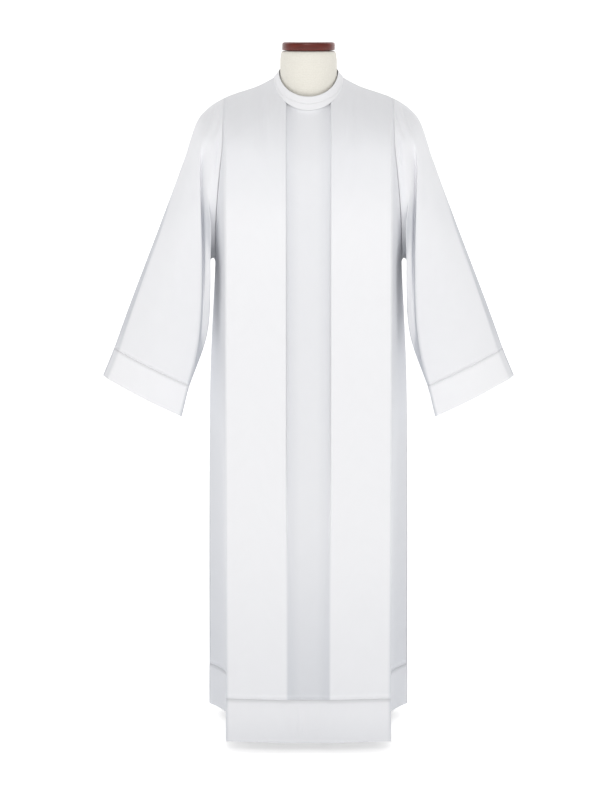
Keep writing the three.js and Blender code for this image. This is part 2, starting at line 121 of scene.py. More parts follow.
# %% Sizes and sections of the body
HEM_TOP, HEM_BOTTOM, HEM_DIP = 102, 22, 2
FRONT_BOW, BACK_BOW_CHEST, BACK_BOW_HEM = 8, 14, 46
BACK_WAVE, WAVE_WIDTH = 6, 96
NECK_HALF, NECK_Y, NECK_FRONT, NECK_BACK = 74, 5, 83, 72
NECK_POINT_Z, NECK_DROP, NECK_RISE = 1448, 65, 14
SHOULDER_HALF, SHOULDER_FALL, CHEST_HALF = 180, 43, 120
NECK_ROUNDNESS, SHOULDER_ROUNDNESS = 1.5, 3.2
CLOTH, PLEAT_AIR = 1.4, 0.8
NECK_RECESS = 0.3  # the pleat is sewn down at the neck seam, so its recess is shallower there

YOKE = table("drop front_x front_y front_z back_x back_y back_z", [
    (0, 180, 5, 1405, 180, 5, 1405),
    (0.045, 179.5, -25, 1399, 179.7, 38, 1396),
    (0.135, 179, -50, 1384, 179.5, 70, 1372),
    (0.28, 179, -70, 1362, 180, 96, 1332),
    (0.475, 179, -84, 1330, 184, 108, 1280),
    (0.7, 181, -88, 1300, 191, 108, 1220),
    (1, 187, -84, 1255, 198, 100, 1160),
])
LEVELS = table(
    "z front_y back_y fold_x overlap ramp recess tuck "
    "front_edge_x front_edge_y front_edge_z back_edge_x back_edge_y back_edge_z", [
        (1256, -121, 112, 171.5, 24, 0, 4.6, 0, 187, -84, 1255, 198, 100, 1160),
        (1170, -127, 117, 172, 24, 0, 6, 0, 197, -60, 1160, 202, 84, 1110),
        (1100, -130, 119, 172.4, 23, 0, 6.5, 1, 201, -22, 1092, 202.5, 60, 1072),
        (1048, -132, 121, 172.8, 21, 0, 7, 2, 203, 28, 1048, 203, 28, 1048),
        (930, -140, 128, 173.8, 16, 0, 7, 6, 211, 33, 930, 211, 33, 930),
        (800, -149, 137, 174.8, 11, 0, 7, 12, 218, 37, 800, 218, 37, 800),
        (670, -157, 147, 175.7, 6, 0, 6.5, 17, 220.5, 40, 670, 220.5, 40, 670),
        (540, -164, 157, 176.6, 0, 0, 6, 22, 222.5, 43, 540, 222.5, 43, 540),
        (400, -171, 166, 177.6, 0, 9, 5.5, 27, 224.5, 45, 400, 224.5, 45, 400),
        (250, -178, 171, 178.7, 0, 16, 5, 32, 226, 48, 250, 226, 48, 250),
        (HEM_TOP, -184, 178, 179.7, 0, 21, 4.5, 36, 227.5, 50, HEM_TOP, 227.5, 50, HEM_TOP),
        (62, -185, 181, 180, 0, 22, 3.5, 37, 228, 50, 62, 228, 50, 62),
        (HEM_BOTTOM, -186, 182, 180.2, 0, 24, 2.5, 38,
         228.3, 50, HEM_BOTTOM, 228.3, 50, HEM_BOTTOM),
    ])
LAST_YOKE = len(YOKE) - 1
HEM_ROW = LAST_YOKE + [level.z for level in LEVELS].index(HEM_TOP)
LAST_ROW = LAST_YOKE + len(LEVELS) - 1

PANEL = table("seam_x share", [
    (56.7, 1 / 7), (65.3, 2 / 7), (71.8, 3 / 7), (NECK_HALF, 4 / 7),
    (108, 5 / 7), (143, 6 / 7), (171, 1),
])
SIDE_SHARES = (0.1, 0.42, 0.77, 1)
VALLEY_SHARE = 0.77
PLEAT_TOP_X, PLEAT_SPREAD = 46.6, 2.6
CENTRE_SHARES = (0, 0.36, 0.7)
# columns are counted from the middle
PLEAT_TURNS = 3  # columns of the pleat that lie behind its edge
PLEAT_COLUMN = len(CENTRE_SHARES) + PLEAT_TURNS  # the pleat's visible edge
FOLD_COLUMN = PLEAT_COLUMN + len(PANEL)  # the pressed outer fold
NORMAL_STEP = 2  # how far to each side the slope of a face is taken


# %% The body's faces
def shoulder_z(x):
    out = (x - NECK_HALF) / (SHOULDER_HALF - NECK_HALF)
    return NECK_POINT_Z - SHOULDER_FALL * (1.28 * out ** 0.62 - 0.62 * out + 0.34 * out ** 3)


def top_seam(x, side):
    half = abs(x)
    if half >= NECK_HALF:
        return Vector((x, NECK_Y, shoulder_z(half)))
    c = math.sqrt(1 - (half / NECK_HALF) ** 2)
    if side < 0:
        return Vector((x, NECK_Y - NECK_FRONT * c, NECK_POINT_Z - NECK_DROP * c))
    return Vector((x, NECK_Y + NECK_BACK * c, NECK_POINT_Z + NECK_RISE * c))


def face(x, row, side):
    """The unpleated face of the front (side -1) or back (side 1) at a half-width and a row."""
    half = abs(x)

    def depth(level):
        across = (half / level.fold_x) ** 2
        if side < 0:
            return level.front_y + FRONT_BOW * across
        down = (LEVELS[0].z - level.z) / LEVELS[0].z
        wave = BACK_WAVE * down * math.cos(2 * math.pi * half / WAVE_WIDTH)
        return level.back_y - mix(BACK_BOW_CHEST, BACK_BOW_HEM, down) * across + wave

    if row >= LAST_YOKE:
        level = LEVELS[row - LAST_YOKE]
        dip = HEM_DIP * smooth(HEM_TOP + 60, HEM_TOP, level.z) * (1 - smooth(0, CHEST_HALF, half))
        return Vector((x, depth(level), level.z - dip))
    seam = top_seam(x, side)
    drop = YOKE[row].drop
    roundness = mix(NECK_ROUNDNESS, SHOULDER_ROUNDNESS, smooth(0, CHEST_HALF, half))
    forward = 1 - (1 - drop) ** roundness
    return Vector((x, mix(seam.y, depth(LEVELS[0]), forward), mix(seam.z, LEVELS[0].z, drop)))


def face_normal(x, row, side):
    across = face(x + NORMAL_STEP, row, side) - face(x - NORMAL_STEP, row, side)
    down = face(x, min(row + 1, LAST_ROW), side) - face(x, max(row - 1, 0), side)
    return across.cross(down).normalized() * side


def half_row(row, side, arm):
    """One row of half a body, from the middle to the side edge."""
    level = LEVELS[max(0, row - LAST_YOKE)]
    yoke = YOKE[min(row, LAST_YOKE)]
    spread = clamp01(row / LAST_YOKE)
    fallen = clamp01((NECK_POINT_Z - face(0, row, side).z) / NECK_POINT_Z)
    pleat_x = PLEAT_TOP_X + PLEAT_SPREAD * fallen

    def at(x, inwards):
        return face(arm * x, row, side) - face_normal(arm * x, row, side) * inwards

    recess = level.recess * (NECK_RECESS if row == 0 else 1)
    turn = min(recess, 2 * CLOTH + PLEAT_AIR) if level.overlap > 0 else recess / 2
    foot = pleat_x + level.overlap - level.ramp
    points = [at(share * min(pleat_x, foot), recess) for share in CENTRE_SHARES]
    points += [at(foot, recess), at(foot + level.ramp / 2, turn)]
    points += [at(pleat_x - level.ramp / 2, turn), at(pleat_x, 0)]
    for column in PANEL:
        points.append(at(mix(column.seam_x, mix(pleat_x, level.fold_x, column.share), spread), 0))
    fold = points[-1]
    name = "front" if side < 0 else "back"
    section, prefix = (yoke, name) if row < LAST_YOKE else (level, name + "_edge")
    edge = Vector([getattr(section, prefix + axis) for axis in ("_x", "_y", "_z")])
    edge.x *= arm
    tuck = 0 if row < LAST_YOKE else level.tuck
    for share in SIDE_SHARES:
        near = share <= VALLEY_SHARE
        pulled = share / VALLEY_SHARE if near else (1 - share) / (1 - VALLEY_SHARE)
        points.append(fold.lerp(edge, share) - Vector((arm * tuck * pulled, 0, 0)))
    return points


def body_grid(side):
    return [
        half_row(row, side, side)[::-1] + half_row(row, side, -side)[1:]
        for row in range(LAST_ROW + 1)
    ]


print("rows", LAST_ROW + 1, "columns", len(body_grid(-1)[0]))

# %% [markdown]
# ## The sleeves
# Each sleeve is one tube, pressed flat with a front crease, from the armhole down to its cuff. A
# station is one ring of points round it.

# %% Sleeve rings
SLEEVE = table(
    "outer_x outer_y outer_z crease crease_y nose_x nose_y nose_z full trough "
    "ridge_x ridge_y ridge_z under_x under_y under_z back", [
        (241, 5, 1362, 1, -26, 227, -70, 1324, 6, 8, 206, -76, 1165, 215, 28, 1036, 84),
        (259, 4, 1295, 1, -20, 230, -64, 1260, 5, 16, 206, -68, 1125, 218, 28, 1020, 68),
        (290, 2, 1214, 1, -16, 229, -60, 1178, 5, 18, 209, -58, 1080, 221, 27, 994, 52),
        (325, 0, 1123, 3, -14, 227, -56, 1083, 6, 16, 210, -46, 1012, 221, 24, 948, 42),
        (364, -2, 1026, 7, -14, 229, -50, 980, 8, 9, 214, -32, 908, 220, 15, 884, 36),
        (401, -2, 932, 11, -14, 237, -42, 868, 10, 0, 236, -14, 845, 240, 8, 840, 30),
        (427.5, -2, 858, 13, -14, 264, -26, 775, 13, 0, 265, -8, 773, 266, 4, 772, 25),
        (438.5, -2, 833, 13, -14, 271, -21, 745, 14, 0, 272, -6, 743, 273, 4, 742, 24),
        (451, -2, 804, 13, -14, 279, -16, 714, 15, 0, 280, -5, 713, 280, 4, 712, 23),
    ])
FIRST_STATION = 2  # stations 0 and 1 are the armhole and the sleeve head
CUFF_STATION = 8
CUFF_EDGE = FIRST_STATION + len(SLEEVE) - 1
ARMHOLE_ROWS = LAST_YOKE + 4
BACK_COLUMNS = 8
HEAD_OUT, HEAD_UNDER, HEAD_FALL, HEAD_SPREAD = 22, 8, 8, 4
DEEP_TROUGH = 10  # from this depth on, the fold behind the sleeve's face is fully formed


def sleeve_ring(station):
    s = SLEEVE[station - FIRST_STATION]
    outer = Vector((s.outer_x, s.outer_y, s.outer_z))
    crease = Vector((s.outer_x - s.crease, s.crease_y, s.outer_z - 0.4 * s.crease - 2))
    nose = Vector((s.nose_x, s.nose_y, s.nose_z))
    ridge = Vector((s.ridge_x, s.ridge_y, s.ridge_z))
    under = Vector((s.under_x, s.under_y, s.under_z))
    folded = clamp01(s.trough / DEEP_TROUGH)

    def face_at(t):
        return crease.lerp(nose, t) - Vector((0, s.full * 4 * t * (1 - t), 0))

    trough = nose.lerp(ridge, 0.33).lerp(nose + Vector((-3, s.trough, -14)), folded)
    strip = nose.lerp(ridge, 0.66).lerp(nose + Vector((-5, 0.35 * s.trough, -30)), folded)
    ring = [outer, crease, face_at(0.34), face_at(0.68), nose, trough, strip, ridge]
    ring += [ridge.lerp(under, 0.5), under]
    for i in range(1, BACK_COLUMNS + 1):
        t = i / (BACK_COLUMNS + 1)
        ring.append(under.lerp(outer, t) + Vector((0, s.back * math.sin(math.pi * t) ** 0.8, 0)))
    return ring


def armhole_ring():
    front = [half_row(row, -1, 1)[-1] for row in range(ARMHOLE_ROWS)]
    back = [half_row(row, 1, 1)[-1] for row in range(ARMHOLE_ROWS)]
    return front + back[1:-1][::-1]


def head_ring():
    ring = armhole_ring()
    top, low = ring[0].z, min(p.z for p in ring)
    moved = []
    for p in ring:
        high = (p.z - low) / (top - low)
        ahead = math.copysign(HEAD_SPREAD * (1 - high), p.y - NECK_Y) if p.y != NECK_Y else 0
        moved.append(p + Vector((mix(HEAD_UNDER, HEAD_OUT, high), ahead, -HEAD_FALL * high ** 2)))
    return moved


def sleeve_grid(arm):
    rings = [armhole_ring(), head_ring()]
    rings += [sleeve_ring(station) for station in range(FIRST_STATION, CUFF_EDGE + 1)]
    if arm > 0:
        return [ring[::-1] + [ring[-1]] for ring in rings]
    return [[Vector((-p.x, p.y, p.z)) for p in ring + [ring[0]]] for ring in rings]


print("stations", CUFF_EDGE + 1)

# %% [markdown]
# ## The neckband
# Two narrow strips go round the neck: the binding, doubled over the seam, and the band above it.

# %% Neck rings
BAND_HALF, BAND_FRONT, BAND_BACK = 63.2, 68, 64
BAND_SIDE_Z, BAND_DROP, BAND_RISE = 1461, 50, 17
BINDING_LOW, BINDING_HIGH = 4, 14
NECK_STEPS = 48


def seam_ring(angle):
    c = math.cos(angle)
    reach, fall = (NECK_FRONT, NECK_DROP) if c > 0 else (NECK_BACK, NECK_RISE)
    return Vector((NECK_HALF * math.sin(angle), NECK_Y - reach * c, NECK_POINT_Z - fall * c))


def band_ring(angle):
    c = math.cos(angle)
    reach, fall = (BAND_FRONT, BAND_DROP) if c > 0 else (BAND_BACK, BAND_RISE)
    return Vector((BAND_HALF * math.sin(angle), -reach * c, BAND_SIDE_Z - fall * c))


def dividing_ring(angle):
    height = mix(BINDING_LOW, BINDING_HIGH, smooth(0.5, 1, math.cos(angle)))
    low, high = seam_ring(angle), band_ring(angle)
    return low.lerp(high, min(0.6, height / (high - low).length))


def neck_grid(upper, lower, rows):
    angles = [2 * math.pi * i / NECK_STEPS for i in range(NECK_STEPS + 1)]
    return [[upper(a).lerp(lower(a), i / rows) for a in angles] for i in range(rows + 1)]


# %% [markdown]
# ## From a grid of points to pressed cloth
# A flat grid is the cut cloth. Each of its points is moved to where it hangs, and the UV map keeps
# where it was on the flat cut, in metres, so that the weave follows the cloth. Folds that were
# pressed with an iron get an edge crease, and a subdivision surface rounds all the rest.

# %% Grid to smooth surface
CUT_MAP = "cut"
SUBDIVISIONS = 3


def cage_mesh(name, grid, creases, band_row, corners=()):
    rows, columns = len(grid), len(grid[0])
    bm = bmesh.new()
    bmesh.ops.create_grid(bm, x_segments=columns - 1, y_segments=rows - 1, size=0.5)
    uv_layer = bm.loops.layers.uv.new(CUT_MAP)
    crease_layer = bm.edges.layers.float.new("crease_edge")
    corner_layer = bm.verts.layers.float.new("crease_vert")
    place = {}
    for v in bm.verts:
        place[v] = (round((0.5 - v.co.y) * (rows - 1)), round((v.co.x + 0.5) * (columns - 1)))
    across = [[0.0] * columns for _ in grid]
    along = [[0.0] * columns for _ in grid]
    for r in range(rows):
        for c in range(1, columns):
            across[r][c] = across[r][c - 1] + (grid[r][c] - grid[r][c - 1]).length * MM
        middle = across[r][columns // 2]
        across[r] = [u - middle for u in across[r]]
        if r:
            for c in range(columns):
                along[r][c] = along[r - 1][c] - (grid[r][c] - grid[r - 1][c]).length * MM
    for f in bm.faces:
        f.material_index = 1 if min(place[v][0] for v in f.verts) >= band_row else 0
        f.smooth = True
        for loop in f.loops:
            r, c = place[loop.vert]
            loop[uv_layer].uv = (across[r][c], along[r][c])
    for e in bm.edges:
        (r0, c0), (r1, c1) = place[e.verts[0]], place[e.verts[1]]
        if c0 == c1:
            e[crease_layer] = creases(c0, (r0 + r1) / 2)
    for v in bm.verts:
        r, c = place[v]
        v.co = grid[r][c] * MM
        v[corner_layer] = 1.0 if (r, c) in corners else 0.0
    bmesh.ops.remove_doubles(bm, verts=bm.verts, dist=SAME_POINT)
    mesh = bpy.data.meshes.new(name)
    bm.to_mesh(mesh)
    bm.free()
    return mesh


def smoothed(name, mesh, levels=SUBDIVISIONS):
    """The mesh after a subdivision surface, as a new bmesh."""
    helper = bpy.data.objects.new(name + "_cage", mesh)
    bpy.context.scene.collection.objects.link(helper)
    modifier = helper.modifiers.new("round", "SUBSURF")
    modifier.levels = modifier.render_levels = levels
    modifier.boundary_smooth = "PRESERVE_CORNERS"
    modifier.uv_smooth = "NONE"
    depsgraph = bpy.context.evaluated_depsgraph_get()
    fine = bpy.data.meshes.new_from_object(helper.evaluated_get(depsgraph))
    bpy.data.objects.remove(helper)
    bm = bmesh.new()
    bm.from_mesh(fine)
    bpy.data.meshes.remove(fine)
    return bm


# %% [markdown]
# ## Creases
# Cloth that has been folded in a drawer and pressed keeps soft lines. Each one here is a trough (or
# a ridge, with a negative depth) along a line seen from the front, with a width, fading at both
# ends. They are listed one by one, uneven in length and depth.

# %% Crease tables, in millimetres
CREASE = "x0 z0 x1 z1 width depth"
FADE_PAST, FADE_IN = 0.15, 0.3  # shares of a crease's length over which it fades
CREASE_REACH = 3  # past this many widths a crease has no depth left
FRONT_CREASES = table(CREASE, [
    (-102, 1428, -98, 1300, 11, 4.2), (100, 1426, 97, 1310, 12, 3.8),
    (-84, 1420, -82, 1350, 8, -1.2), (83, 1418, 80, 1345, 8, -1.0),
    (-140, 1415, -146, 1330, 9, 1.3), (138, 1414, 145, 1322, 9, 1.5),
    (-21, 104, -18, 28, 5, 1.6), (64, 98, 60, 40, 9, 0.7),
    (-120, 980, -90, 968, 16, 0.6), (110, 700, 135, 690, 18, 0.6),
    (-150, 430, -120, 420, 15, 0.6), (96, 350, 128, 357, 15, 0.5),
    (-232, 203, -190, 190, 4, 2.2), (232, 202, 190, 191, 4, 2.0),
    (-228, 330, -196, 318, 6, 1.0), (228, 318, 196, 310, 7, 1.1),
])
BACK_CREASES = table(CREASE, [
    (-96, 1420, -92, 1260, 13, 2.4), (94, 1418, 90, 1240, 12, 2.0),
    (-60, 1200, -64, 900, 16, 1.6), (66, 1180, 60, 840, 18, 1.8),
    (-20, 98, -24, 30, 6, 1.2), (80, 96, 76, 34, 8, 0.9),
    (-110, 760, -80, 750, 16, 0.7), (70, 520, 108, 532, 16, 0.6),
])
SLEEVE_CREASES = table(CREASE, [
    (198, 1392, 219, 1333, 4.0, 4.6), (212, 1378, 219, 1352, 3.4, 2.8),
    (182, 1389, 203, 1321, 4.8, 4.2), (186, 1340, 196, 1239, 6, 5.0),
    (251, 1298, 251, 1178, 11, 2.4), (272, 1107, 272, 930, 13, 2.2),
    (300, 1010, 322, 880, 12, 1.2), (224, 1380, 240, 1330, 7, -1.2),
    (330, 850, 345, 770, 8, 0.8),
])


def crease_depth(creases, co, mirror):
    """How far a point is pushed in by all creases, in metres."""
    x, z = co.x / MM * mirror, co.z / MM
    total = 0.0
    for c in creases:
        dx, dz = c.x1 - c.x0, c.z1 - c.z0
        length_2 = dx * dx + dz * dz
        t = ((x - c.x0) * dx + (z - c.z0) * dz) / length_2
        if -FADE_PAST < t < 1 + FADE_PAST:
            off = abs((x - c.x0) * dz - (z - c.z0) * dx) / math.sqrt(length_2)
            if off < CREASE_REACH * c.width:
                fade = smooth(-FADE_PAST, FADE_IN, t) * smooth(1 + FADE_PAST, 2 * FADE_IN, t)
                total += c.depth * fade * math.exp(-((off / c.width) ** 2))
    return total * MM


# %% Press creases and seams into a fine surface
SEAM_SINK = 0.35  # how far a seam draws the cloth in
BAND_RAISE = 0.6  # how far the doubled bands stand out
LINE_SINK = 0.15  # the stitched line at a band's top


def press(bm, creases, mirror, facing):
    bm.normal_update()
    shifts = {}
    for v in bm.verts:
        normal = v.normal.copy()
        push = 0.0
        if facing(v):
            push -= crease_depth(creases, v.co, mirror)
        marks = {f.material_index for f in v.link_faces}
        if marks == {0, 1}:
            push -= LINE_SINK * MM
        elif marks == {1}:
            push += BAND_RAISE * MM
        elif v.is_boundary:
            push -= SEAM_SINK * MM
        shifts[v] = normal * push
    for v, shift in shifts.items():
        v.co += shift


def stitched_line(bm):
    """The points between the cloth and its band, as chains of (place, outward direction)."""
    edges = {e for e in bm.edges if {f.material_index for f in e.link_faces} == {0, 1}}
    chains = []
    while edges:
        edge = edges.pop()
        chain = list(edge.verts)
        for end in (1, 0):
            while True:
                tip = chain[-1] if end else chain[0]
                onward = [e for e in tip.link_edges if e in edges]
                if not onward:
                    break
                edges.remove(onward[0])
                nxt = onward[0].other_vert(tip)
                chain.append(nxt) if end else chain.insert(0, nxt)
        chains.append([(v.co.copy(), v.normal.copy()) for v in chain])
    return chains


# %% [markdown]
# ## Materials
# The cloth is a plain-woven polyester and cotton, bleached white. Where it lies in one layer a
# little less light comes back than where it lies double. An attribute on the mesh stands for that,
# and also for painted shade: darker towards the hem, on cloth turned away from the front, next to
# the pleats and on the shoulders. It mixes two whites, by values given for each part of the robe.

# %% Nodes and colours
def linear(hex_colour):
    channels = [int(hex_colour[i:i + 2], 16) / 255 for i in (1, 3, 5)]
    return [c / 12.92 if c <= 0.04045 else ((c + 0.055) / 1.055) ** 2.4 for c in channels] + [1.0]


def add_node(tree, kind, settings=None, **links):
    """Adds a node; a link's value is another node's socket or a plain value."""
    node = tree.nodes.new(kind)
    for key, value in (settings or {}).items():
        setattr(node, key, value)
    for key, value in links.items():
        by_index = key[0] == "i" and key[1:].isdigit()
        socket = node.inputs[int(key[1:]) if by_index else key.replace("_", " ")]
        if isinstance(value, bpy.types.NodeSocket):
            tree.links.new(value, socket)
        else:
            socket.default_value = value
    return node


def new_material(name, **shader):
    material = bpy.data.materials.new(name)
    material.use_nodes = True
    tree = material.node_tree
    principled = tree.nodes["Principled BSDF"]
    for key, value in shader.items():
        principled.inputs[key.replace("_", " ")].default_value = value
    return material, tree, principled


THREAD_DETAIL = 2.0
THREAD = 0.0016  # thread spacing; the real one is 0.4 mm, drawn coarser so that it shows


def woven_cloth(name, doubled, single_and_shaded):
    """Woven polyester and cotton: matt, with a faint sheen and a fine even grain."""
    material, tree, principled = new_material(
        name, Roughness=0.78, Sheen_Weight=0.12, Sheen_Roughness=0.45)
    flat = add_node(tree, "ShaderNodeUVMap", {"uv_map": CUT_MAP}).outputs["UV"]
    turns = 0.5 * math.pi / THREAD / 10
    warp = add_node(tree, "ShaderNodeTexWave", {"bands_direction": "X"}, Vector=flat,
                    Scale=turns, Distortion=0.4, Detail=1.0)
    weft = add_node(tree, "ShaderNodeTexWave", {"bands_direction": "Y"}, Vector=flat,
                    Scale=turns, Distortion=0.4, Detail=1.0)
    weave = add_node(tree, "ShaderNodeMath", {"operation": "ADD"},
                     i0=warp.outputs["Color"], i1=weft.outputs["Color"])
    slub = add_node(tree, "ShaderNodeTexNoise", None, Vector=flat, Scale=260.0, Detail=3.0)
    grain = add_node(tree, "ShaderNodeMath", {"operation": "ADD"},
                     i0=weave.outputs[0], i1=slub.outputs["Fac"])
    fine = add_node(tree, "ShaderNodeBump", None, Strength=0.08, Distance=0.0004,
                    Height=grain.outputs[0])
    soft = add_node(tree, "ShaderNodeTexNoise", None, Vector=flat, Scale=14.0, Detail=2.0)
    bump = add_node(tree, "ShaderNodeBump", None, Strength=0.25, Distance=0.0012,
                    Height=soft.outputs["Fac"], Normal=fine.outputs["Normal"])
    # The layers attribute mixes the two whites; it stands for doubled and one-layer cloth, and for
    # painted shade as well.
    layers = add_node(tree, "ShaderNodeAttribute", {"attribute_name": "layers"})
    colour = add_node(tree, "ShaderNodeMix", {"data_type": "RGBA"}, i0=layers.outputs["Fac"],
                      i6=linear(single_and_shaded), i7=linear(doubled))
    mottle = add_node(tree, "ShaderNodeTexNoise", None, Vector=flat, Scale=30.0, Detail=4.0)
    faint = add_node(tree, "ShaderNodeMapRange", None, Value=mottle.outputs["Fac"],
                     To_Min=0.975, To_Max=1.0)
    tint = add_node(tree, "ShaderNodeVectorMath", {"operation": "SCALE"}, i0=colour.outputs[2],
                    Scale=faint.outputs["Result"])
    tree.links.new(tint.outputs["Vector"], principled.inputs["Base Color"])
    tree.links.new(bump.outputs["Normal"], principled.inputs["Normal"])
    return material


def mottled(name, dark, light, scale, detail, stretch=None, **shader):
    """A shader whose colour wanders between two tones by a noise; gives back that noise too."""
    material, tree, principled = new_material(name, **shader)
    place = add_node(tree, "ShaderNodeTexCoord").outputs["Object"]
    across = place
    if stretch:
        across = add_node(tree, "ShaderNodeMapping", None, Vector=place, Scale=stretch)
        across = across.outputs["Vector"]
    noise = add_node(tree, "ShaderNodeTexNoise", None, Vector=across, Scale=scale, Detail=detail)
    tones = add_node(tree, "ShaderNodeMix", {"data_type": "RGBA"}, i0=noise.outputs["Fac"],
                     i6=linear(dark), i7=linear(light))
    tree.links.new(tones.outputs[2], principled.inputs["Base Color"])
    return material, tree, principled, place, noise.outputs["Fac"]


def add_bump(tree, principled, strength, distance, height):
    bump = add_node(tree, "ShaderNodeBump", None, Strength=strength, Distance=distance,
                    Height=height)
    tree.links.new(bump.outputs["Normal"], principled.inputs["Normal"])


def jersey_cover(name):
    """Knitted linen-coloured cover of a dress form: matt, with a soft rib."""
    material, tree, principled, place, _ = mottled(
        name, "#E2DED2", "#F4F1E8", 420.0, 4.0, Roughness=0.9, Sheen_Weight=0.2)
    rib = add_node(tree, "ShaderNodeTexWave", {"bands_direction": "Z"}, Vector=place,
                   Scale=90.0, Distortion=2.0, Detail=2.0)
    add_bump(tree, principled, 0.3, 0.0005, rib.outputs["Fac"])
    return material


def lacquered_mahogany(name):
    """Turned mahogany under thin lacquer: deep red-brown, long grain, a soft gloss."""
    return mottled(name, "#3C0C04", "#7A2008", 1.0, 6.0, stretch=(14, 120, 120),
                   Roughness=0.32, Coat_Weight=0.12, Coat_Roughness=0.08)[0]


def enamelled_metal(name, light, dark, grit):
    """Steel or cast iron under pale enamel: satin, with the casting's grit showing through."""
    material, tree, principled, _, noise = mottled(name, dark, light, grit, 5.0, Roughness=0.38)
    add_bump(tree, principled, 0.25, 0.0004, noise)
    return material


# The first white is doubled cloth; the second is cloth in one layer and painted shade.
alb_cloth = woven_cloth("woven_polyester_cotton", "#F6F6F8", "#D6D8DD")
sewing_thread = mottled("polyester_thread", "#E2E3E6", "#FBFBFC", 900.0, THREAD_DETAIL,
                        Roughness=0.5, Sheen_Weight=0.2)[0]
form_cover = jersey_cover("linen_jersey")
cap_wood = lacquered_mahogany("lacquered_mahogany")
pole_steel = enamelled_metal("enamelled_steel", "#E4E4E2", "#D2D2D0", 300.0)
foot_iron = enamelled_metal("enamelled_cast_iron", "#DCDCDA", "#C6C6C4", 160.0)
print("materials", len(bpy.data.materials))

# %% [markdown]
# ## Cloth pieces
# A fine surface is split where its band begins, and each half becomes a wall of its own.

# %% Surface to walls
WALL = 0.0009


def wall_object(name, bm, keep, layers_and_painted_shade_at, slot, nodes):
    """The faces of one mark (or all of them, for None) as a cloth wall, with its layers and painted
    shade.
    """
    part = bm.copy()
    if keep is not None:
        gone = [f for f in part.faces if f.material_index != keep]
        bmesh.ops.delete(part, geom=gone, context="FACES")
    for f in part.faces:
        f.material_index = 0
        f.smooth = True
    piece = new_object(name, part, alb_cloth)
    # This attribute holds the cloth's layers together with painted shade.
    attribute = piece.data.attributes.new("layers", "FLOAT", "POINT")
    for i, v in enumerate(piece.data.vertices):
        attribute.data[i].value = layers_and_painted_shade_at(v)
    solid = piece.modifiers.new("wall", "SOLIDIFY")
    solid.thickness = WALL
    solid.offset = -1
    attach(piece, slot, *nodes)
    return piece


# %% Stitches
STITCH_STEP = 0.0032
STITCH_SIZE = (0.00115, 0.00028, 0.00022)
STITCH_INSET = -0.003  # how far beside the line they run


def stitch_piece(name, chains, offset, slot):
    """Small rounded stitches along the chains, as one joined mesh."""
    bm = bmesh.new()
    for chain in chains:
        walked, due = 0.0, STITCH_STEP / 2
        for (a, na), (b, nb) in zip(chain, chain[1:]):
            length = (b - a).length
            if length < SAME_POINT / 10:
                continue
            while due <= walked + length:
                t = (due - walked) / length
                normal = na.lerp(nb, t).normalized()
                along = (b - a).normalized()
                beside = normal.cross(along).normalized()
                centre = a.lerp(b, t) + normal * WALL + beside * offset
                made = bmesh.ops.create_icosphere(bm, subdivisions=1, radius=1.0)
                for v in made["verts"]:
                    x, y, z = (s * k for s, k in zip(STITCH_SIZE, v.co))
                    v.co = centre + along * x + beside * y + normal * z
                due += STITCH_STEP
            walked += length
    for f in bm.faces:
        f.smooth = True
    bmesh.ops.recalc_face_normals(bm, faces=bm.faces)
    piece = new_object(name, bm, sewing_thread)
    attach(piece, slot)
    return piece


# %% Front and back
SIDE_HALF = len(half_row(0, -1, 1)) - 1
NECK_CORNER = FOLD_COLUMN - 3  # the column at which the neck seam meets the shoulder seam
PLEAT_SPAN, FOLD_SPAN = (43, 50), (172, 180)  # half-widths over which a panel begins and ends


def body_crease(column, row):
    place = abs(column - SIDE_HALF)
    if place == FOLD_COLUMN:
        return smooth(LAST_YOKE - 3, LAST_YOKE + 1, row) * 0.9
    if PLEAT_COLUMN - PLEAT_TURNS <= place <= PLEAT_COLUMN:
        return mix(0.6, 0.1, smooth(LAST_YOKE + 3, HEM_ROW, row))
    return 0.0


def body_layers_and_painted_shade(v):
    """How light the cloth is drawn: lightest on doubled panels, darker in one layer, with painted
    shade towards the hem, on the sides, next to the pleats and on the shoulders.
    """
    half, z = abs(v.co.x) / MM, v.co.z / MM
    painted_hem_falloff = smooth(60, 560, z)  # painted shade: darker towards the hem, lighter where the form's pale cover lies behind the cloth
    panel = smooth(*PLEAT_SPAN, half) * (1 - smooth(*FOLD_SPAN, half))
    # the side cloth lies in one layer, and is drawn darker still as painted shade where it turns
    # away from the front
    side = smooth(*FOLD_SPAN, half) * smooth(1400, 1000, z)
    shaded = 0.2 * smooth(14, 42, half) * (1 - side)  # next to the pleats less light gets in
    single_and_shaded = (mix(0.12, 0.68, painted_hem_falloff) - shaded) * (1 - side) + mix(0.0, 0.22, painted_hem_falloff) * side
    painted_shoulder_shade = mix(1.0, 0.72, smooth(1130, 1300, z))  # painted shade: the panels are drawn darker towards the shoulders
    return mix(single_and_shaded, mix(0.72, 0.96, painted_hem_falloff) * painted_shoulder_shade, panel)


def hem_painted_shade(v):
    """Painted shade on the doubled hem: lighter on the front panels, darker round the sides and
    towards its lower edge.
    """
    side = smooth(*FOLD_SPAN, abs(v.co.x) / MM)
    return mix(mix(0.55, 0.74, smooth(22, 100, v.co.z / MM)), 0.12, side)


